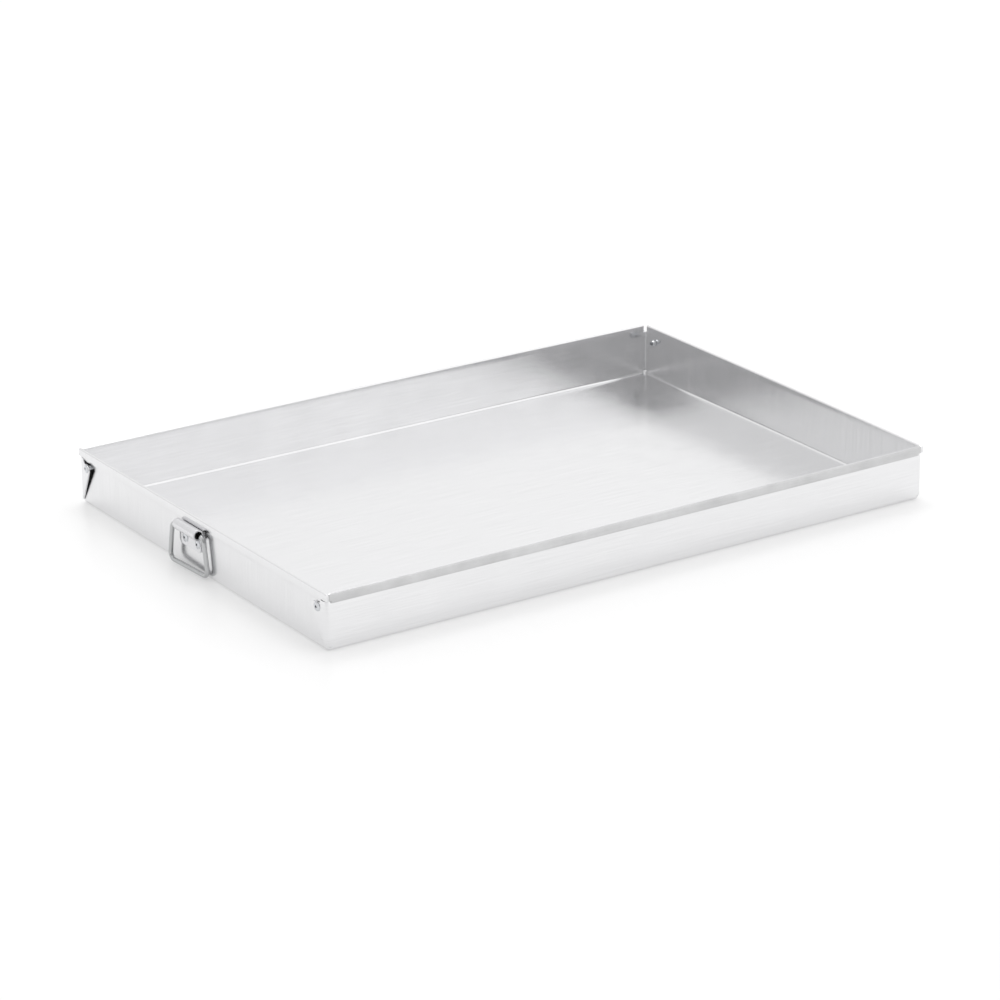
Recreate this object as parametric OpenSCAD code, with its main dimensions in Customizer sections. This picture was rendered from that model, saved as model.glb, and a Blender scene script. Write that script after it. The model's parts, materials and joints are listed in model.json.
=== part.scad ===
// Shallow rectangular tray folded from one aluminium sheet.
// Frame: millimetres, +Z up, origin on the underside of the floor at its middle.
// X runs along the tray, Y across it, and the drop handle is on the -X end wall.
// Corners are numbered 0 back left, 1 back right, 2 front right, 3 front left.

/* [Tray] */
// Length over the hems of the two end walls
tray_length = 600; // [400:5:800]
// Width over the hems of the two side walls
tray_width = 408; // [250:2:500]
// Height from the underside to the top of the rim
tray_height = 49; // [45:1:70]
// Sheet thickness
sheet = 1.2; // [1:0.1:1.5]
// Outside radius where the floor turns up into the walls
floor_bend = 3.5; // [3:0.1:5]

/* [Rim] */
// Height of the hem, where the sheet's top edge is folded down outside
hem_height = 8; // [7:0.5:9]
// How far the rim stops short of each corner along the side walls
side_rim_gap = [2.6, 3.5, 2.6, 2.6]; // [2.6:0.1:5]
// How far the rim stops short of each corner along the end walls
end_rim_gap = [0, 7, 0, 0]; // [0:0.5:9]
// Depth of the relief cut below the rim at the corners
rim_relief = 6; // [5.5:0.5:6.5]

/* [Corner ears] */
// Length of the ear that wraps round each corner onto the end wall
ear_length = [20.5, 23, 20.5, 20.5]; // [20:0.5:26]
// Depth of the ear's top edge below the rim
ear_drop = 10.2; // [9.6:0.2:11.2]
// Radius of the ear's free top corner
ear_radius = 4.5; // [3:0.5:5]
// Angle by which each ear has sprung away from the end wall
ear_spring = [8, 3, 3, 4]; // [1:1:8]

/* [Blind rivets] */
// Diameter of the rivet's shank
rivet_shank = 4; // [3.2:0.4:4.8]
// Diameter of the rivet's domed head
rivet_head = 8; // [6.4:0.4:9]
// Height of the domed head
rivet_dome = 1.3; // [1:0.1:1.6]
// Distance from each corner to its ear's rivet
rivet_inset = [15, 17, 13, 12]; // [11:0.5:17]
// Depth of the ear's rivet below the rim
rivet_drop = 13.5; // [13:0.5:16]

/* [Handle] */
// Width of the folded strap, along the end wall
strap_width = 35; // [30:0.5:38]
// Thickness of the strap's sheet
strap_sheet = 1.5; // [1.2:0.1:1.6]
// Height of the strap's lower edge
strap_bottom = 20.5; // [18:0.5:22]
// Height of the middle of the strap's rolled eye
eye_height = 37.2; // [36.8:0.1:37.7]
// Diameter of the hole through the rolled eye
eye_hole = 6.6; // [6.2:0.1:6.8]
// Distance between the strap's two rivets
strap_rivet_pitch = 20.5; // [18:0.5:21.5]
// Distance of the two rivets' middle from the strap's own, towards the front
strap_rivet_shift = 2.6; // [0:0.1:2.6]
// Height of the strap's rivets
strap_rivet_height = 27.6; // [26.5:0.1:28]
// Distance of the handle from the end wall's middle, towards the back
handle_offset = 8.8; // [-20:0.2:20]
// Diameter of the bail's wire
wire = 4; // [3.5:0.1:4.2]
// Height of the middle of the bail's grip when it hangs
grip_height = 3.6; // [3:0.2:8]
// Angle by which the bail's legs spread towards the grip
leg_flare = 9.5; // [6:0.5:13]
// Radius of the wire's middle at the two bends beside the eye
shoulder_radius = 4.5; // [3:0.1:5]
// Straight length of wire between the eye and each shoulder
shoulder_stub = 2.2; // [0.2:0.1:3]
// Radius of the wire's middle at the two bends beside the grip
grip_radius = 5.5; // [4:0.5:8]
// Length of each wire end inside the eye
wire_end = 9; // [6:1:14]
// Share of the eye's play that the bail takes up by hanging askew
bail_askew = 0.7; // [0:0.05:0.9]

/* [Hidden] */
$fn = 48;

// Signs of X and Y at the four corners
CORNERS = [[-1, 1], [1, 1], [1, -1], [-1, -1]];
// Outside faces of the end walls and side walls, inside the hem's own thickness
wall_x = tray_length / 2 - sheet;
wall_y = tray_width / 2 - sheet;
// Air between an ear's root and the end wall, which keeps them two layers of sheet
layer_gap = 0.15;
// Radius of the upright bend at each corner, and where its axis stands
corner_bend = 3.5;
turn_x = wall_x + layer_gap + sheet - corner_bend;
turn_y = wall_y - corner_bend;
// Ends of the floor bends
run_x = wall_x - floor_bend;
run_y = wall_y - floor_bend;
// Saw-cut width of the slit between an ear and the rim above it
slit = 0.8;
rim_bottom = tray_height - rim_relief;
ear_root_top = rim_bottom - slit;
ear_top = tray_height - ear_drop;
// The ear's root stays high for this distance, and the hem is cut back over it
ear_step = 7;
ear_bottom = floor_bend + 0.3;
ear_step_run = 3;
// Blind rivet
stem_bore = 2.3;
stem_rod = 2.2;
rivet_bore = rivet_shank + 0.1;
head_rim = 0.35;
tail_length = 3.8;
tail_width = 1.5 * rivet_shank;
rivet_z = tray_height - rivet_drop;
// Handle
eye_outer = eye_hole / 2 + strap_sheet;
eye_out = eye_outer;
wire_play = eye_hole / 2 - wire / 2 - 0.05;
wire_drop = wire_play * sqrt(1 - pow(bail_askew, 2));
askew_angle = asin(bail_askew * wire_play / (strap_width / 2));
hinge_z = eye_height - wire_drop;
strap_turn = 2;
strap_corner = 4;
// Where a straight piece meets a bend, it is smaller by a hair and runs into the bend by a short lap
hair = 0.01;
lap = 0.05;
// Length of end wall that stands inside the turn of each corner
turn_gap = 0.4;

function arc(cx, cy, r, from, to, steps = 8) =
    [for (i = [0:steps]) let (a = from + (to - from) * i / steps) [cx + r * cos(a), cy + r * sin(a)]];

// A smooth step between two levels, as points from (x0, y0) to (x1, y1)
function ogee(x0, y0, x1, y1, steps = 8) =
    [for (i = [0:steps]) let (s = i / steps) [x0 + (x1 - x0) * s, y0 + (y1 - y0) * (1 - cos(180 * s)) / 2]];

// Depth from an ear's outside to the end wall's inside, at the far edge of the rivet's tail
function rivet_grip(corner) =
    2 * sheet + layer_gap + (rivet_inset[corner] - corner_bend + tail_width / 2) * sin(ear_spring[corner]);

// A straight run of wall along X, its outside face on Y = 0, from the floor bend up to the rim strip
module wall_run(from, to) {
    length = to - from;
    translate([from, -sheet, floor_bend]) cube([length, sheet, rim_bottom - floor_bend]);
    intersection() {
        translate([from, -floor_bend, floor_bend]) rotate([0, 90, 0]) difference() {
            cylinder(r = floor_bend, h = length);
            translate([0, 0, -1]) cylinder(r = floor_bend - sheet, h = length + 2);
        }
        translate([from, -floor_bend, 0]) cube([length, floor_bend, floor_bend]);
    }
}

// The folded hem below the rim strip, closed flat on the outside of the wall
module hem_run(from, to) {
    translate([from, 0, tray_height - hem_height]) cube([to - from, sheet, hem_height - rim_relief]);
}

// The rim strip with its hem and its rounded top edge
module rim_run(from, to) {
    translate([from, -sheet, rim_bottom]) cube([to - from, 2 * sheet, rim_relief - sheet]);
    translate([from, 0, tray_height - sheet]) rotate([0, 90, 0]) cylinder(r = sheet, h = to - from);
}

// The ear's flat plate, X away from the corner and Y up
module ear_outline(length) {
    polygon(concat(
        [[corner_bend, ear_bottom], [corner_bend, ear_root_top], [ear_step - 0.4, ear_root_top]],
        ogee(ear_step - 0.4, ear_root_top, ear_step - 0.4 + ear_step_run, ear_top),
        arc(length - ear_radius, ear_top - ear_radius, ear_radius, 90, -25, 10),
        [[corner_bend + 0.6, ear_bottom]]
    ));
}

// One corner: rounded floor corner, the ends of both walls, and the ear that wraps round it
module corner(i) {
    s = CORNERS[i];
    mirror([s[0] < 0 ? 1 : 0, 0, 0]) mirror([0, s[1] < 0 ? 1 : 0, 0]) {
        intersection() {
            translate([run_x, run_y, floor_bend]) difference() {
                sphere(r = floor_bend);
                sphere(r = floor_bend - sheet);
            }
            translate([run_x, run_y, 0]) cube(floor_bend);
        }
        // End wall, which stops inside the turn's round
        translate([wall_x - sheet, run_y, ear_bottom])
            cube([sheet, turn_y + turn_gap - run_y, rim_bottom - ear_bottom]);
        // Side wall, up to the start of its turn; it is a hair smaller and laps into both neighbours
        translate([run_x - lap, wall_y - sheet + hair, ear_bottom + hair])
            cube([turn_x - run_x + 2 * lap, sheet - 2 * hair, ear_root_top - ear_bottom - 2 * hair]);
        // Turn of the sheet round the upright corner, and the ear beyond it
        translate([turn_x, turn_y, 0]) rotate([0, 0, ear_spring[i]]) {
            translate([0, 0, ear_bottom]) rotate_extrude(angle = 90 - ear_spring[i])
                translate([corner_bend - sheet, 0]) square([sheet, ear_root_top - ear_bottom]);
            translate([corner_bend, corner_bend, 0]) rotate([90, 0, -90])
                linear_extrude(height = sheet) ear_outline(ear_length[i]);
        }
    }
}

// Places its children on the ear's outside face at the rivet, with +Z pointing out of the tray
module at_ear_rivet(i) {
    s = CORNERS[i];
    mirror([s[0] < 0 ? 1 : 0, 0, 0]) mirror([0, s[1] < 0 ? 1 : 0, 0])
        translate([turn_x, turn_y, rivet_z]) rotate([0, 0, ear_spring[i]])
        translate([corner_bend, corner_bend - rivet_inset[i], 0]) rotate([0, 90, 0]) children();
}

// Places its children on the handle strap's outside face at one of its rivets
module at_strap_rivet(side) {
    translate([-wall_x - 2 * strap_sheet, handle_offset - strap_rivet_shift, strap_rivet_height])
        translate([0, side * strap_rivet_pitch / 2, 0]) rotate([0, -90, 0]) children();
}

module pan() {
    color([0.86, 0.87, 0.88]) difference() {
        union() {
            translate([-run_x, -run_y, 0]) cube([2 * run_x, 2 * run_y, sheet]);
            // Side walls, each drawn along X with its two corners' rim gaps
            for (side = [0, 1]) {
                left = side == 0 ? 0 : 3;
                right = side == 0 ? 1 : 2;
                mirror([0, side, 0]) translate([0, wall_y, 0]) {
                    wall_run(-run_x, run_x);
                    hem_run(-run_x, run_x);
                    rim_run(-tray_length / 2 + side_rim_gap[left], tray_length / 2 - side_rim_gap[right]);
                }
            }
            // End walls, drawn along X and turned to face the two ends
            for (side = [0, 1]) {
                back = side == 0 ? 0 : 1;
                front = side == 0 ? 3 : 2;
                mirror([side, 0, 0]) translate([-wall_x, 0, 0]) rotate([0, 0, 90]) {
                    wall_run(-run_y, run_y);
                    hem_run(-wall_y + ear_step, wall_y - ear_step);
                    rim_run(-tray_width / 2 + end_rim_gap[front], tray_width / 2 - end_rim_gap[back]);
                }
            }
            for (i = [0:3]) corner(i);
        }
        for (i = [0:3]) at_ear_rivet(i) translate([0, 0, -12]) cylinder(d = rivet_bore, h = 20);
        for (side = [-1, 1]) at_strap_rivet(side) translate([0, 0, -12]) cylinder(d = rivet_bore, h = 13);
    }
}

// A set blind rivet: its head on Z = 0, and its tail swollen behind the sheets that it grips
module blind_rivet(grip) {
    dome_radius = (pow(rivet_head / 2, 2) + pow(rivet_dome - head_rim, 2)) / (2 * (rivet_dome - head_rim));
    color([0.78, 0.79, 0.8]) difference() {
        union() {
            cylinder(d = rivet_head, h = head_rim);
            intersection() {
                translate([0, 0, rivet_dome - dome_radius]) sphere(r = dome_radius, $fn = 64);
                cylinder(d = rivet_head, h = 2 * rivet_dome);
            }
            translate([0, 0, -grip - tail_length]) cylinder(d = rivet_shank, h = grip + tail_length);
            translate([0, 0, -grip - tail_length]) rotate_extrude() polygon(concat(
                [[0, 0], [rivet_shank / 2, 0]],
                ogee(rivet_shank / 2 + 0.1, 0.1, tail_width / 2, tail_length / 2, 6),
                ogee(tail_width / 2, tail_length / 2 + 0.3, rivet_shank / 2 + 0.4, tail_length - 0.15, 6),
                [[0, tail_length - 0.15]]
            ));
        }
        translate([0, 0, -grip - tail_length - 1]) cylinder(d = stem_bore, h = grip + tail_length + 4);
    }
}

// The part of the rivet's stem that stays in it: a snapped rod with a round head behind the tail
module blind_stem(grip) {
    color([0.55, 0.56, 0.58]) union() {
        translate([0, 0, -grip - tail_length - 0.5]) cylinder(d = stem_rod, h = grip + tail_length + 0.9);
        intersection() {
            translate([0, 0, -grip - tail_length]) sphere(r = 0.42 * rivet_shank);
            translate([0, 0, -grip - tail_length - rivet_shank]) cylinder(d = 2 * rivet_shank, h = rivet_shank);
        }
    }
}

module corner_rivet(i) {
    at_ear_rivet(i) blind_rivet(rivet_grip(i));
}

module corner_stem(i) {
    at_ear_rivet(i) blind_stem(rivet_grip(i));
}

module handle_rivet(side) {
    at_strap_rivet(side) blind_rivet(2 * strap_sheet + sheet);
}

module handle_stem(side) {
    at_strap_rivet(side) blind_stem(2 * strap_sheet + sheet);
}

// The strap's front layer turns out of the wall's plane on an arc that runs into the eye's circle.
// These are the height of that arc's middle, and the angle at which it meets the circle.
front_layer = 1.5 * strap_sheet;
turn_reach = eye_out - front_layer - strap_turn;
turn_drop = sqrt(pow(strap_turn + eye_hole / 2 + strap_sheet / 2, 2) - pow(turn_reach, 2));
turn_z = eye_height - turn_drop;
meet = atan2(turn_drop, turn_reach);

// Cross-section of the folded strap, X out from the end wall and Y up
module strap_profile() {
    polygon(concat(
        [[0, strap_bottom], [0, eye_height]],
        arc(eye_out, eye_height, eye_outer, 180, meet - 180, 40),
        arc(front_layer + strap_turn, turn_z, strap_turn - strap_sheet / 2, meet, 180, 8),
        [[2 * strap_sheet, strap_bottom]]
    ));
}

// Hollow of the strap below its eye: the wedge-shaped space between the two layers
module strap_wedge() {
    polygon(concat(
        arc(front_layer + strap_turn, turn_z, strap_turn + strap_sheet / 2, 180, meet, 8),
        [[eye_out, eye_height], [strap_sheet, eye_height], [strap_sheet, turn_z]]
    ));
}

module handle_strap() {
    color([0.8, 0.81, 0.82]) translate([-wall_x, handle_offset, 0]) difference() {
        translate([0, strap_width / 2, 0]) rotate([90, 0, 0]) mirror([1, 0, 0])
            linear_extrude(height = strap_width) strap_profile();
        translate([0, strap_width / 2 + 1, 0]) rotate([90, 0, 0]) mirror([1, 0, 0])
            linear_extrude(height = strap_width + 2) strap_wedge();
        translate([-eye_out, strap_width / 2 + 1, eye_height]) rotate([90, 0, 0])
            cylinder(d = eye_hole, h = strap_width + 2);
        // Rounded lower corners
        for (side = [-1, 1]) {
            translate([1, side * strap_width / 2, strap_bottom]) rotate([0, -90, 0]) difference() {
                translate([-1, side > 0 ? -strap_corner : -1, 0]) cube([strap_corner + 1, strap_corner + 1, 8]);
                translate([strap_corner, -side * strap_corner, -1]) cylinder(r = strap_corner, h = 10);
            }
            translate([1, side * strap_rivet_pitch / 2 - strap_rivet_shift, strap_rivet_height]) rotate([0, -90, 0])
                cylinder(d = rivet_bore, h = 8);
        }
    }
}

// A bend of the wire in the YZ plane, its middle at the origin, from one angle to another above +Y
module wire_bend(radius, from, to) {
    rotate([90, 0, 90]) rotate([0, 0, from]) rotate_extrude(angle = to - from)
        translate([radius, 0]) circle(d = wire);
}

// A straight piece of wire in the YZ plane, a hair thinner than the bends that take its ends
module wire_rod(from, to) {
    d = to - from;
    translate([0, from[0], from[1]]) rotate([atan2(d[1], d[0]), 0, 0]) rotate([-90, 0, 0])
        translate([0, 0, -lap]) cylinder(d = wire - 2 * hair, h = norm(d) + 2 * lap);
}

// The bail's two sides mirror each other, and one straight grip joins them
module handle_bail() {
    shoulder_y = strap_width / 2 + shoulder_stub;
    leg_start = [shoulder_y + shoulder_radius * cos(leg_flare),
                 hinge_z - shoulder_radius * (1 - sin(leg_flare))];
    leg_drop = leg_start[1] - grip_height - grip_radius * (1 + sin(leg_flare));
    leg_end = [leg_start[0] + leg_drop * tan(leg_flare), leg_start[1] - leg_drop];
    grip_y = leg_end[0] - grip_radius * cos(leg_flare);
    color([0.72, 0.73, 0.75]) translate([-wall_x - eye_out, handle_offset, 0]) rotate([0, 0, askew_angle]) {
        for (side = [0, 1]) mirror([0, side, 0]) {
            wire_rod([strap_width / 2 - wire_end, hinge_z], [shoulder_y, hinge_z]);
            translate([0, shoulder_y, hinge_z - shoulder_radius]) wire_bend(shoulder_radius, leg_flare, 90);
            wire_rod(leg_start, leg_end);
            translate([0, grip_y, grip_height + grip_radius]) wire_bend(grip_radius, -90, leg_flare);
        }
        wire_rod([-grip_y, grip_height], [grip_y, grip_height]);
    }
}

pan();
corner_rivet(0);  // corner_rivet_back_left
corner_rivet(1);  // corner_rivet_back_right
corner_rivet(2);  // corner_rivet_front_right
corner_rivet(3);  // corner_rivet_front_left
corner_stem(0);  // corner_stem_back_left
corner_stem(1);  // corner_stem_back_right
corner_stem(2);  // corner_stem_front_right
corner_stem(3);  // corner_stem_front_left
handle_strap();
handle_bail();
handle_rivet(1);  // handle_rivet_back
handle_rivet(-1);  // handle_rivet_front
handle_stem(1);  // handle_stem_back
handle_stem(-1);  // handle_stem_front
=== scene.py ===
import json
import math

import bmesh
import bpy
from mathutils import Matrix, Vector


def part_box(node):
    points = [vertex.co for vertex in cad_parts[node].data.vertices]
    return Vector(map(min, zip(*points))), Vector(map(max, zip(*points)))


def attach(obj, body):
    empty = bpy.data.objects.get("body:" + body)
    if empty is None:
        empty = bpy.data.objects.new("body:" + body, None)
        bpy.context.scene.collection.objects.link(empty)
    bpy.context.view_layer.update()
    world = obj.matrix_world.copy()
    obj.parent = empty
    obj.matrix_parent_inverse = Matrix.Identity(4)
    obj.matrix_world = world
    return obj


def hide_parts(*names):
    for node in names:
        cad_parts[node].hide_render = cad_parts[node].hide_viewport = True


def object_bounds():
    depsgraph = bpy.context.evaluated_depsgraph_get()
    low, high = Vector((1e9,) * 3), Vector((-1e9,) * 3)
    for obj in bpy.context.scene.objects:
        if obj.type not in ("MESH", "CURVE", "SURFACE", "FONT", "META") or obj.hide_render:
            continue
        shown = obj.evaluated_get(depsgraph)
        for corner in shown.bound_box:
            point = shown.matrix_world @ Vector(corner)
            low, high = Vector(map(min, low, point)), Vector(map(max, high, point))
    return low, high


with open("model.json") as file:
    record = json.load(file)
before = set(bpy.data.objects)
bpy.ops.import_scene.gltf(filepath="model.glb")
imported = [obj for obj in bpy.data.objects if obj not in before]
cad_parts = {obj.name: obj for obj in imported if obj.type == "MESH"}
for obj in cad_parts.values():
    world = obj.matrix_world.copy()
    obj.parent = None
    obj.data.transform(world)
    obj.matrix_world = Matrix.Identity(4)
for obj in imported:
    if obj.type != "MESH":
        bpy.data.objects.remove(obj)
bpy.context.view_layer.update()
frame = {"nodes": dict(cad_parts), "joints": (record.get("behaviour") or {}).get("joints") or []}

# The studio: a seamless white table, a softbox overhead and a pale room, brightest beyond the tray
# and darker on the side it is looked at from, which is what gives bare metal its tones.

MM = 0.001


def linear(hex_colour):
    """A colour written as sRGB hex, as the linear RGBA that a shader takes."""
    values = [int(hex_colour[i:i + 2], 16) / 255 for i in (1, 3, 5)]
    return [v / 12.92 if v <= 0.04045 else ((v + 0.055) / 1.055) ** 2.4 for v in values] + [1.0]


def add(tree, kind, settings=None, **links):
    """Adds a node. Settings name its properties or its input sockets; links name input sockets
    and give the output socket that feeds each one. A link called _2 feeds input number 2."""
    node = tree.nodes.new(kind)
    for name, value in (settings or {}).items():
        if isinstance(name, int) or name in node.inputs:
            node.inputs[name].default_value = value
        else:
            setattr(node, name, value)
    for name, source in links.items():
        key = int(name[1:]) if name[0] == "_" else name.replace("_", " ")
        tree.links.new(source, node.inputs[key])
    return node


view_azimuth = math.radians(33.58)
view_elevation = math.radians(20.74)
view_roll = math.radians(-0.39)
view_distance = 3459.8 * MM
view_target = Vector((-0.1, 1.2, 0.0)) * MM
forward = Vector((
    math.sin(view_azimuth) * math.cos(view_elevation),
    math.cos(view_azimuth) * math.cos(view_elevation),
    -math.sin(view_elevation),
))
camera_data = bpy.data.cameras.new("tray_camera")
camera_data.sensor_width = 36
camera_data.lens = 144.18
camera_data.clip_end = 50
camera = bpy.data.objects.new("tray_camera", camera_data)
camera.matrix_world = (
    Matrix.Translation(view_target - forward * view_distance)
    @ forward.to_track_quat("-Z", "Y").to_matrix().to_4x4()
    @ Matrix.Rotation(view_roll, 4, "Z")
)
bpy.context.scene.collection.objects.link(camera)
bpy.context.scene.camera = camera
bpy.context.scene.view_settings.view_transform = "Standard"

table_mesh = bpy.data.meshes.new("studio_table")
table_size = 30.0
table_gap = 0.02 * MM
table_mesh.from_pydata(
    [(x * table_size, y * table_size, 0) for x, y in ((-1, -1), (1, -1), (1, 1), (-1, 1))],
    [], [(0, 1, 2, 3)])
table = bpy.data.objects.new("studio_table", table_mesh)
table.location.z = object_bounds()[0][2] - table_gap
bpy.context.scene.collection.objects.link(table)

# Satin white acrylic lit from below: its own light thins the tray's shadow.
acrylic = bpy.data.materials.new("satin_white_acrylic")
acrylic.use_nodes = True
for socket, value in (
    ("Base Color", linear("#c8c8c8")), ("Roughness", 0.35),
    ("Emission Color", linear("#ffffff")), ("Emission Strength", 0.36),
):
    acrylic.node_tree.nodes["Principled BSDF"].inputs[socket].default_value = value
table_mesh.materials.append(acrylic)

world = bpy.data.worlds.new("pale_room")
bpy.context.scene.world = world
world.use_nodes = True
room = world.node_tree
room.nodes.clear()
direction = add(room, "ShaderNodeTexCoord").outputs["Generated"]
# The room's dark side and its brightest wall. Each fades in with the cosine of the angle to it,
# from start to end: the first mixes in the dark colour, and the second sets the strength.
dark_side = Vector((-0.55, -0.76, 0.33)).normalized()
lit_side = Vector((0.60, -0.75, 0.25)).normalized()
lobes = []
for side, start, end, low, high in (
    (dark_side, 0.50, 0.98, 0.0, 1.0),
    (lit_side, -1.0, 0.6, 0.88, 1.17),
):
    facing = add(room, "ShaderNodeVectorMath", {"operation": "DOT_PRODUCT", 1: side}, _0=direction)
    lobes.append(add(room, "ShaderNodeMapRange", {
        "interpolation_type": "SMOOTHSTEP",
        "From Min": start, "From Max": end, "To Min": low, "To Max": high,
    }, Value=facing.outputs["Value"]))
room_colour = add(room, "ShaderNodeMix", {
    "data_type": "RGBA", 6: linear("#ffffff"), 7: linear("#b2b2b2"),
}, _0=lobes[0].outputs["Result"])
background = add(
    room, "ShaderNodeBackground",
    Color=room_colour.outputs[2], Strength=lobes[1].outputs["Result"])
add(room, "ShaderNodeOutputWorld", Surface=background.outputs["Background"])

softbox_data = bpy.data.lights.new("overhead_softbox", "AREA")
softbox_data.shape = "RECTANGLE"
softbox_data.size = 0.9
softbox_data.size_y = 0.7
softbox_data.energy = 8
softbox = bpy.data.objects.new("overhead_softbox", softbox_data)
softbox.location = (0.35, 0.75, 2.1)
softbox.rotation_euler = (Vector((0, 0, 0)) - softbox.location).to_track_quat("-Z", "Y").to_euler()
bpy.context.scene.collection.objects.link(softbox)

# The pan: one sheet of mill-finish aluminium, folded up into four walls. The top edges are folded
# down outside as a closed hem, and at each corner an ear of the side wall turns onto the end wall.

pan_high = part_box("pan")[1]
sheet = 1.2 * MM
half_length = 300 * MM
half_width = pan_high.y
rim_height = pan_high.z
wall_x = half_length - sheet
wall_y = half_width - sheet
bend_radius = 3.5 * MM
run_x = wall_x - bend_radius
run_y = wall_y - bend_radius
middle_radius = bend_radius - sheet / 2
hem_radius = 0.65 * MM
hem_bottom = rim_height - 8 * MM
rim_bottom = rim_height - 6 * MM
slit = 0.8 * MM
ear_bottom = bend_radius + 0.3 * MM
ear_root_top = rim_bottom - slit
# By corner, as (end, side). The rim's gaps and the ears' lengths are in millimetres, and spring is
# how far an ear stands off the end wall, in degrees.
side_rim_gap = {(-1, 1): 2.6, (1, 1): 3.5, (1, -1): 2.6, (-1, -1): 2.6}
end_rim_gap = {(-1, 1): 0, (1, 1): 7, (1, -1): 0, (-1, -1): 0}
ear_spring = {(-1, 1): 8, (1, 1): 3, (1, -1): 3, (-1, -1): 4}
ear_length = {(-1, 1): 20.5, (1, 1): 23, (1, -1): 20.5, (-1, -1): 20.5}
# An ear's outline, in millimetres from the corner: the turn's radius, where its lower edge starts
# to slope, where its top edge drops to the ear's own height, and the radius of its free edge
ear_turn = 3.5
foot_x = 4.1
drop_start, drop_end = 6.6, 9.6
tip_radius = 4.5
ear_top = rim_height / MM - 10.2
ear_gap = 0.15 * MM
# Between its ends a wall leans out, most at the rim. The end wall with the handle stays straight.
side_bow = 1.2 * MM
end_bow = 1.6 * MM


def steps(start, end, count):
    return [start + (end - start) * i / count for i in range(count + 1)]


def arc(centre, radius, start, end, count):
    """Points round an arc; angles are in degrees."""
    turns = [math.radians(a) for a in steps(start, end, count)]
    return [
        (centre[0] + radius * math.cos(turn), centre[1] + radius * math.sin(turn))
        for turn in turns
    ]


def sheet_patch(mesh, uv_layer, grid):
    """Adds a grid of faces. Each grid point is (place, place on the blank before it was folded)."""
    rows = [[(mesh.verts.new(place), flat) for place, flat in row] for row in grid]
    for lower, upper in zip(rows, rows[1:]):
        for a, b, c, d in zip(lower, lower[1:], upper[1:], upper):
            corners = [a, b, c, d]
            face = mesh.faces.new([vert for vert, flat in corners])
            for loop, (vert, flat) in zip(face.loops, corners):
                loop[uv_layer].uv = flat


def as_object(mesh, name):
    data = bpy.data.meshes.new(name)
    mesh.to_mesh(data)
    mesh.free()
    piece = bpy.data.objects.new(name, data)
    bpy.context.scene.collection.objects.link(piece)
    return piece


def finish_sheet(mesh, name, thickness, edge_round):
    """Welds the patches, thickens them, rounds the cut edges and returns the object."""
    bmesh.ops.remove_doubles(mesh, verts=mesh.verts, dist=0.002 * MM)
    bmesh.ops.dissolve_degenerate(mesh, edges=mesh.edges, dist=0.001 * MM)
    bmesh.ops.recalc_face_normals(mesh, faces=mesh.faces)
    piece = as_object(mesh, name)
    solid = piece.modifiers.new("sheet_thickness", "SOLIDIFY")
    solid.thickness = thickness
    solid.offset = 0
    solid.use_even_offset = True
    solid.use_quality_normals = True
    rounding = piece.modifiers.new("cut_edges", "BEVEL")
    rounding.width = edge_round
    rounding.segments = 2
    rounding.limit_method = "ANGLE"
    rounding.angle_limit = math.radians(50)
    settle(piece)
    return piece


def settle(piece):
    """Applies a piece's modifiers and shades it smooth, except across real edges."""
    bpy.context.view_layer.update()
    evaluated = piece.evaluated_get(bpy.context.evaluated_depsgraph_get())
    data = bpy.data.meshes.new_from_object(evaluated)
    piece.modifiers.clear()
    piece.data = data
    data.shade_smooth()
    data.set_sharp_from_angle(angle=math.radians(35))


def measured(points):
    """Adds to each point of a section the length of sheet used so far."""
    used = 0
    result = [(points[0][0], points[0][1], 0)]
    for before, after in zip(points, points[1:]):
        used += math.dist(before, after)
        result.append((after[0], after[1], used))
    return result


# The middle of the sheet in section, from the floor's edge up the wall and over the hem.
# Each point is (distance out from the floor's edge, height, length of sheet used so far).
bend_steps, web_steps, fold_steps = 8, 6, 8
wall_out = middle_radius
hem_centre = (wall_out + hem_radius, rim_height - hem_radius - sheet / 2)
section = measured(
    arc((0, bend_radius), middle_radius, -90, 0, bend_steps)
    + [(wall_out, z) for z in steps(ear_bottom, ear_root_top, web_steps) + [rim_bottom]]
    + arc(hem_centre, hem_radius, 180, 0, fold_steps)
    + [(wall_out + 2 * hem_radius, z) for z in (rim_bottom, hem_bottom)]
)
ear_row = bend_steps + 1
rim_row = ear_row + web_steps + 1
fold_top_row = rim_row + 1 + fold_steps // 2
bend_rows = section[:ear_row]
web_rows = section[ear_row:rim_row]
rim_rows = section[rim_row:-1]


def wall_point(side, along, row):
    """A point of a wall. side is (1, 0) for the +X end wall, (0, -1) for the -Y side wall."""
    out, up, used = row
    lean = 0
    bow, run = (side_bow, run_x) if side[1] else (end_bow if side[0] > 0 else 0, run_y)
    if abs(along) < run:
        lean = bow * (1 - (along / run) ** 2) * max(0, up - bend_radius) / rim_height
    if side[0]:
        return (side[0] * (run_x + out + lean), along, up), (side[0] * (run_x + used), along)
    return (along, side[1] * (run_y + out + lean), up), (along, side[1] * (run_y + used))


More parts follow.
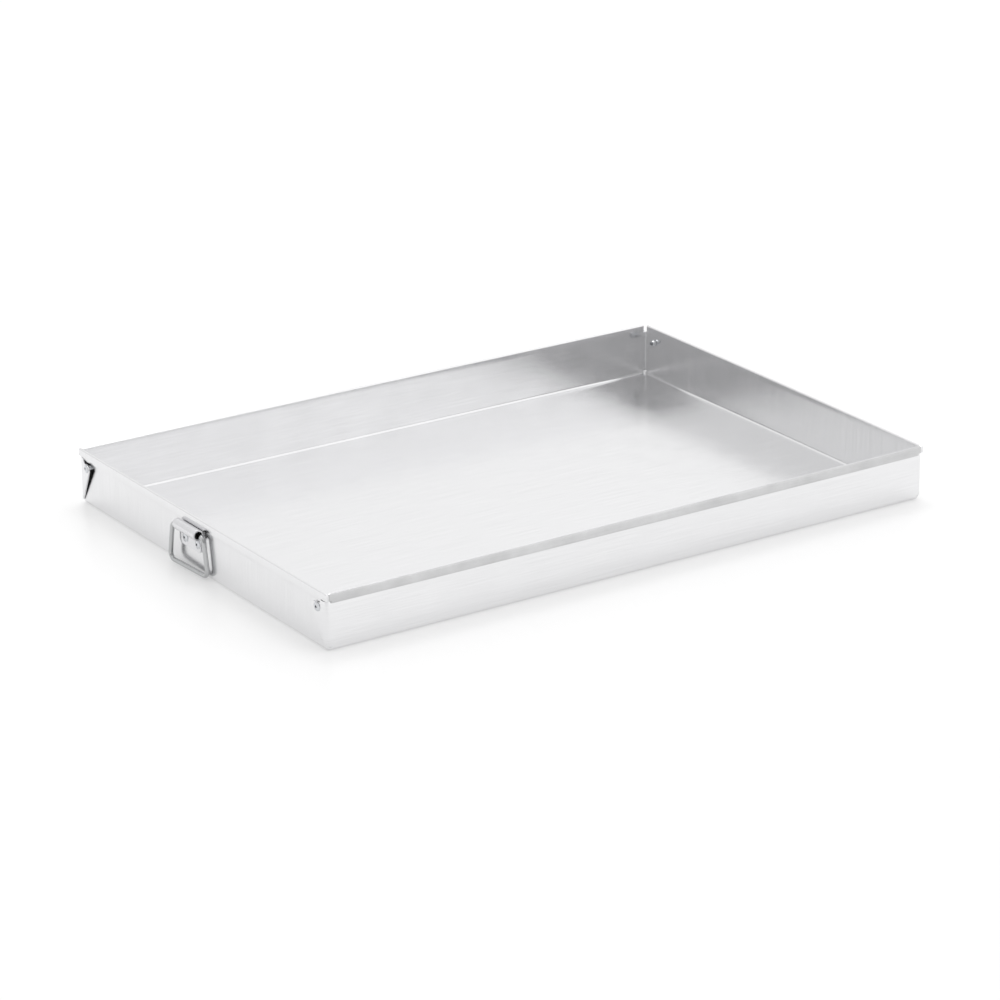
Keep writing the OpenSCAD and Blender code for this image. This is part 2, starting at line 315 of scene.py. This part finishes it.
def ear_limits(a, tip_x):
    """Lowest and highest point of an ear, in metres, a millimetres from the corner. Its free edge
    is an arc round a point tip_x from the corner, and its sloping lower edge joins that arc."""
    root_top = ear_root_top / MM
    tip_z = ear_top - tip_radius
    foot_z = ear_bottom / MM
    leave = math.radians(-25)
    leave_x = tip_x + tip_radius * math.cos(leave)
    leave_z = tip_z + tip_radius * math.sin(leave)
    if a <= drop_start:
        high = root_top
    elif a <= drop_end:
        dropped = (a - drop_start) / (drop_end - drop_start)
        high = root_top + (ear_top - root_top) * (1 - math.cos(math.pi * dropped)) / 2
    elif a <= tip_x:
        high = ear_top
    else:
        high = tip_z + math.sqrt(max(0, tip_radius ** 2 - (a - tip_x) ** 2))
    if a <= foot_x:
        low = foot_z
    elif a <= leave_x:
        low = foot_z + (leave_z - foot_z) * (a - foot_x) / (leave_x - foot_x)
    else:
        low = tip_z - math.sqrt(max(0, tip_radius ** 2 - (a - tip_x) ** 2))
    return low * MM, high * MM


def add_ear(mesh, uv_layer, corner):
    """The side wall beyond the floor bend, its turn round the corner, and the ear."""
    sx, sy = corner
    spring = ear_spring[corner]
    turn_x = wall_x + ear_gap + sheet - ear_turn * MM
    turn_y = wall_y - ear_turn * MM
    radius = ear_turn * MM - sheet / 2
    turn = [(run_x, turn_y + radius)] + arc((turn_x, turn_y), radius, 90, spring, 8)
    columns = [(x, y, ear_turn) for x, y in turn]
    end_x, end_y = turn[-1]
    along = (math.sin(math.radians(spring)), -math.cos(math.radians(spring)))
    tip_x = ear_length[corner] - tip_radius
    insets = [foot_x, 5.2] + steps(drop_start, drop_end, 8) + steps(drop_end, tip_x, 4)[1:]
    # Columns crowd together round the free edge, where the outline turns fastest
    insets += [
        tip_x + tip_radius * math.sin(math.radians(a))
        for a in (20, 40, 55, 65, 72, 78, 83, 87, 89.5)
    ]
    columns += [
        (end_x + along[0] * (a - ear_turn) * MM, end_y + along[1] * (a - ear_turn) * MM, a)
        for a in insets
    ]
    grid, travelled = [], 0
    for number, (x, y, a) in enumerate(columns):
        if number:
            travelled += math.dist((x, y), columns[number - 1][:2])
        low, high = ear_limits(a, tip_x)
        line = []
        for out, up, used in web_rows:
            share = (up - ear_bottom) / (ear_root_top - ear_bottom)
            z = low + share * (high - low)
            flat = (sx * (run_x + travelled), sy * (run_y + used - up + z))
            line.append(((sx * x, sy * y, z), flat))
        grid.append(line)
    sheet_patch(mesh, uv_layer, grid)


pan_mesh = bmesh.new()
pan_uv = pan_mesh.loops.layers.uv.new("flat_blank")
hem_end = wall_y - 7 * MM
columns_x = steps(-run_x, run_x, 30)
columns_y = [-run_y] + steps(-hem_end, hem_end, 20) + [run_y]
sheet_patch(pan_mesh, pan_uv, [
    [((x, y, sheet / 2), (x, y)) for x in columns_x] for y in columns_y])
for sign in (-1, 1):
    for side, columns in (((0, sign), columns_x), ((sign, 0), columns_y)):
        grid = [[wall_point(side, s, row) for s in columns] for row in section[:-1]]
        sheet_patch(pan_mesh, pan_uv, grid)
        hem_columns = columns if side[1] else columns[1:-1]
        sheet_patch(pan_mesh, pan_uv, [
            [wall_point(side, s, row) for s in hem_columns] for row in section[-2:]])
for corner in ear_spring:
    sx, sy = corner
    add_ear(pan_mesh, pan_uv, corner)
    # Rounded floor corner, which meets the ends of both floor bends
    sheet_patch(pan_mesh, pan_uv, [
        [(
            (sx * (run_x + out * math.cos(turn)), sy * (run_y + out * math.sin(turn)), up),
            (sx * (run_x + used * math.cos(turn)), sy * (run_y + used * math.sin(turn))),
        ) for turn in steps(0, math.pi / 2, 6)]
        for out, up, used in bend_rows
    ])
    # End wall up to the inside of the turn, and both rim strips out towards the corner
    stub = [sy * run_y, sy * (run_y + 0.4 * MM)]
    sheet_patch(pan_mesh, pan_uv, [
        [wall_point((sx, 0), s, row) for s in stub] for row in section[ear_row:rim_row + 1]])
    side_end = half_length - side_rim_gap[corner] * MM
    sheet_patch(pan_mesh, pan_uv, [
        [wall_point((0, sy), sx * s, row) for s in (run_x, side_end)] for row in rim_rows])
    end_end = half_width - end_rim_gap[corner] * MM
    if end_end > run_y:
        columns = [sy * run_y, sy * end_end]
        sheet_patch(pan_mesh, pan_uv, [
            [wall_point((sx, 0), s, row) for s in columns] for row in rim_rows])

pan = finish_sheet(pan_mesh, "pan_sheet", sheet, edge_round=0.2 * MM)
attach(pan, "tray")
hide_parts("pan")


def bare_metal(name):
    """A new metal, and its node tree and shader."""
    material = bpy.data.materials.new(name)
    material.use_nodes = True
    shader = material.node_tree.nodes["Principled BSDF"]
    shader.inputs["Metallic"].default_value = 1.0
    return material, material.node_tree, shader


def dress(piece, material):
    piece.data.materials.clear()
    piece.data.materials.append(material)


def sheet_metal(name, colour, roughness, streak_depth, hem_from=None):
    """Mill-finish aluminium: bright bare metal, with rolling lines along the coil that blur what it
    mirrors. The lines run along the flat blank's length, so they stand up on the end walls. Beyond
    hem_from across the blank, the folded hem is darker and mottled in colour."""
    material, tree, shader = bare_metal(name)
    blank = add(tree, "ShaderNodeUVMap", {"uv_map": "flat_blank"}).outputs["UV"]
    # Rolling lines, coarser than real ones so that they show
    line_length, line_gap = 0.06, 0.0012
    lines = add(tree, "ShaderNodeMapping", {
        "Scale": (1 / line_length, 1 / line_gap, 1)}, Vector=blank)
    line_noise = add(tree, "ShaderNodeTexNoise", {
        "noise_dimensions": "2D", "Scale": 1.0, "Detail": 3.0, "Roughness": 0.6,
    }, Vector=lines.outputs[0])
    # Handling marks and faint cloudiness
    cloud_size = 0.03
    clouds = add(tree, "ShaderNodeTexNoise", {
        "noise_dimensions": "2D", "Scale": 1 / cloud_size, "Detail": 4.0, "Roughness": 0.55,
    }, Vector=blank)
    tone = add(tree, "ShaderNodeMapRange", {
        "From Min": 0.3, "From Max": 0.7, "To Min": 0.96, "To Max": 1.01,
    }, Value=line_noise.outputs["Fac"])
    metal = add(tree, "ShaderNodeMix", {
        "data_type": "RGBA", "blend_type": "MULTIPLY", 0: 1.0, 6: linear(colour),
    }, _7=tone.outputs["Result"])
    bare = metal.outputs[2]
    if hem_from:
        across = add(tree, "ShaderNodeSeparateXYZ", _0=blank).outputs["Y"]
        far_out = add(tree, "ShaderNodeMath", {"operation": "ABSOLUTE"}, _0=across).outputs[0]
        on_hem = add(tree, "ShaderNodeMapRange", {
            "From Min": hem_from, "From Max": hem_from + 0.3 * MM}, Value=far_out)
        # The folded hem gets a darker, mottled grey tint, multiplied over the bare metal's colour
        hem_mottle = add(tree, "ShaderNodeMix", {
            "data_type": "RGBA", 6: linear("#cacaca"), 7: linear("#efefef"),
        }, _0=clouds.outputs["Fac"])
        hem_darkening = add(tree, "ShaderNodeMix", {
            "data_type": "RGBA", 6: linear("#ffffff"),
        }, _0=on_hem.outputs[0], _7=hem_mottle.outputs[2])
        bare = add(tree, "ShaderNodeMix", {
            "data_type": "RGBA", "blend_type": "MULTIPLY", 0: 1.0,
        }, _6=bare, _7=hem_darkening.outputs[2]).outputs[2]
    gloss = add(tree, "ShaderNodeMapRange", {
        "From Min": 0.3, "From Max": 0.7, "To Min": roughness - 0.04, "To Max": roughness + 0.04,
    }, Value=clouds.outputs["Fac"])
    bump = add(tree, "ShaderNodeBump", {
        "Strength": 1.0, "Distance": streak_depth}, Height=line_noise.outputs["Fac"])
    tree.links.new(bare, shader.inputs["Base Color"])
    tree.links.new(gloss.outputs["Result"], shader.inputs["Roughness"])
    tree.links.new(bump.outputs["Normal"], shader.inputs["Normal"])
    return material


dress(pan, sheet_metal(
    "mill_finish_aluminium", "#ebebec", roughness=0.21, streak_depth=0.0008 * MM,
    hem_from=run_y + section[fold_top_row][2]))

# The handle's strap: a strip of the same aluminium, folded over into an eye for the bail.
# Both layers lie on the end wall, and two blind rivets hold them.

strap_low, strap_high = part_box("handle_strap")
strap_sheet = 1.5 * MM
strap_half = (strap_high.y - strap_low.y) / 2
strap_y = (strap_high.y + strap_low.y) / 2
eye_hole = 3.3 * MM
eye_radius = eye_hole + strap_sheet / 2
eye_out = eye_hole + strap_sheet
eye_z = strap_high.z - eye_out
front_out = 1.5 * strap_sheet
strap_turn = 2 * MM
layer_gap = 0.06 * MM
turn_drop = math.sqrt((strap_turn + eye_radius) ** 2 - (front_out + strap_turn - eye_out) ** 2)
meet = math.degrees(math.atan2(turn_drop, eye_out - front_out - strap_turn))
corner_radius = 4 * MM


def strap_width_at(z):
    """Half the strap's width at a height: its two lower corners are round."""
    rise = corner_radius - (z - strap_low.z)
    if rise <= 0:
        return strap_half
    return strap_half - (corner_radius - math.sqrt(corner_radius ** 2 - rise ** 2))


corner_heights = [
    strap_low.z + corner_radius * (1 - math.cos(math.radians(a))) for a in steps(0, 90, 8)]
strap_section = measured(
    [(strap_sheet / 2, z) for z in corner_heights]
    + arc((eye_out, eye_z), eye_radius, 180, meet - 180, 40)
    + arc((front_out + strap_turn, eye_z - turn_drop), strap_turn, meet, 180, 8)[1:]
    + [(front_out, z) for z in reversed(corner_heights)]
)
strap_mesh = bmesh.new()
strap_uv = strap_mesh.loops.layers.uv.new("flat_blank")
sheet_patch(strap_mesh, strap_uv, [
    [(
        (-wall_x - out, strap_y + share * strap_width_at(up), up),
        (used, share * strap_half),
    ) for share in steps(-1, 1, 12)]
    for out, up, used in strap_section
])
strap = finish_sheet(
    strap_mesh, "handle_strap_sheet", strap_sheet - layer_gap, edge_round=0.25 * MM)
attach(strap, "tray")
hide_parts("handle_strap")
dress(strap, sheet_metal(
    "tumbled_aluminium_strip", "#e2e2e4", roughness=0.26, streak_depth=0.002 * MM))

# The bail: one length of bright zinc-plated steel wire, bent in a jig. Its two ends turn inward
# into the strap's eye, where they rest on the bottom of the hole. It hangs a little askew.

bail_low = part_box("handle_bail")[0]
wire_radius = 2 * MM
swing = next(j for j in frame["joints"] if j["name"] == "bail_swing")
hinge = Vector(swing["pos_m"])
along_hinge = Vector(swing["axis"])
across_hinge = Vector((along_hinge.y, -along_hinge.x, 0))
shoulder_y = strap_half + 2.2 * MM
shoulder_radius = 4.5 * MM
grip_radius = 5.5 * MM
grip_z = bail_low.z + wire_radius
wire_end = 9 * MM
flare = 9.5  # degrees that each leg leans outward
lean = math.radians(flare)
shoulder = arc((shoulder_y, hinge.z - shoulder_radius), shoulder_radius, 90, flare, 10)
leg_drop = shoulder[-1][1] - grip_z - grip_radius * (1 + math.sin(lean))
grip_y = shoulder[-1][0] + leg_drop * math.tan(lean) - grip_radius * math.cos(lean)
half_bail = (
    [(strap_half - wire_end, hinge.z), (shoulder_y - 0.3 * MM, hinge.z)]
    + shoulder
    + arc((grip_y, grip_z + grip_radius), grip_radius, flare, -90, 12)
)
bail_path = half_bail + [(0, grip_z)] + [(-y, z) for y, z in reversed(half_bail)]


def wire_piece(name, path, radius, sides):
    """A round wire along a flat path that holds the hinge, closed by slightly rounded cut ends."""
    mesh = bmesh.new()
    uv_layer = mesh.loops.layers.uv.new("wire_length")
    rings, along = [], []
    used = 0
    places = [(Vector(p), radius) for p in path]
    end_round = 0.3 * MM
    first = (places[0][0] - places[1][0]).normalized()
    last = (places[-1][0] - places[-2][0]).normalized()
    places.insert(0, (places[0][0] + first * end_round, radius - end_round))
    places.append((places[-1][0] + last * end_round, radius - end_round))
    for i, (point, r) in enumerate(places):
        before, after = places[max(i - 1, 0)][0], places[min(i + 1, len(places) - 1)][0]
        tangent = (after - before).normalized()
        used += (point - before).length
        normal = Vector((-tangent.y, tangent.x))
        ring = []
        for k in range(sides):
            turn = 2 * math.pi * k / sides
            offset = normal * (r * math.sin(turn))
            across, along_it = r * math.cos(turn), point.x + offset.x
            place = hinge + across_hinge * across + along_hinge * along_it
            ring.append(mesh.verts.new((place.x, place.y, point.y + offset.y)))
        rings.append(ring)
        along.append(used)
    for i in range(len(rings) - 1):
        for k in range(sides):
            nxt = (k + 1) % sides
            face = mesh.faces.new([rings[i][k], rings[i][nxt], rings[i + 1][nxt], rings[i + 1][k]])
            spots = [(along[i], k), (along[i], k + 1), (along[i + 1], k + 1), (along[i + 1], k)]
            for loop, (u, turn) in zip(face.loops, spots):
                loop[uv_layer].uv = (u, turn * 2 * math.pi * radius / sides)
    mesh.faces.new(rings[0])
    mesh.faces.new(rings[-1])
    bmesh.ops.recalc_face_normals(mesh, faces=mesh.faces)
    piece = as_object(mesh, name)
    settle(piece)
    return piece


bail = wire_piece("handle_bail_wire", bail_path, wire_radius, 32)
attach(bail, "bail")
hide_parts("handle_bail")

# Bright zinc on drawn steel: a smooth, slightly bluish metal with faint marks along the wire.
zinc, zinc_tree, zinc_shader = bare_metal("bright_zinc_wire")
wire_uv = add(zinc_tree, "ShaderNodeUVMap", {"uv_map": "wire_length"}).outputs["UV"]
mark_length, mark_gap = 0.008, 0.0005
draw_scale = add(zinc_tree, "ShaderNodeMapping", {
    "Scale": (1 / mark_length, 1 / mark_gap, 1)}, Vector=wire_uv)
draw_marks = add(zinc_tree, "ShaderNodeTexNoise", {
    "noise_dimensions": "2D", "Scale": 1.0, "Detail": 2.0}, Vector=draw_scale.outputs[0])
zinc_tone = add(zinc_tree, "ShaderNodeMix", {
    "data_type": "RGBA", 6: linear("#a8a9aa"), 7: linear("#cdcecf")}, _0=draw_marks.outputs["Fac"])
zinc_gloss = add(zinc_tree, "ShaderNodeMapRange", {
    "To Min": 0.08, "To Max": 0.18}, Value=draw_marks.outputs["Fac"])
zinc_tree.links.new(zinc_tone.outputs[2], zinc_shader.inputs["Base Color"])
zinc_tree.links.new(zinc_gloss.outputs["Result"], zinc_shader.inputs["Roughness"])
dress(bail, zinc)

# The blind rivets: an aluminium body set through each ear and through the strap, with a domed head
# outside, a swollen tail inside, and the snapped end of its steel stem left in the middle.


def rivet_metal(name, light, dark, roughness, spot):
    """Smooth pressed metal with small dull spots where the setting tool has rubbed it."""
    material, tree, shader = bare_metal(name)
    place = add(tree, "ShaderNodeTexCoord").outputs["Object"]
    spots = add(tree, "ShaderNodeTexNoise", {"Scale": 1 / spot, "Detail": 3.0}, Vector=place)
    tone = add(tree, "ShaderNodeMix", {
        "data_type": "RGBA", 6: linear(dark), 7: linear(light)}, _0=spots.outputs["Fac"])
    gloss = add(tree, "ShaderNodeMapRange", {
        "To Min": roughness - 0.08, "To Max": roughness + 0.08}, Value=spots.outputs["Fac"])
    bump = add(tree, "ShaderNodeBump", {"Distance": 0.02 * MM}, Height=spots.outputs["Fac"])
    tree.links.new(tone.outputs[2], shader.inputs["Base Color"])
    tree.links.new(gloss.outputs["Result"], shader.inputs["Roughness"])
    tree.links.new(bump.outputs["Normal"], shader.inputs["Normal"])
    return material


rivet_body = rivet_metal(
    "pressed_aluminium_rivet", "#e4e5e7", "#b9bcc0", roughness=0.2, spot=1.5 * MM)
rivet_stem = rivet_metal(
    "snapped_steel_stem", "#9b9da1", "#5a5c60", roughness=0.35, spot=0.8 * MM)
for name, node in frame["nodes"].items():
    if "rivet" in name or "stem" in name:
        dress(node, rivet_stem if "stem" in name else rivet_body)
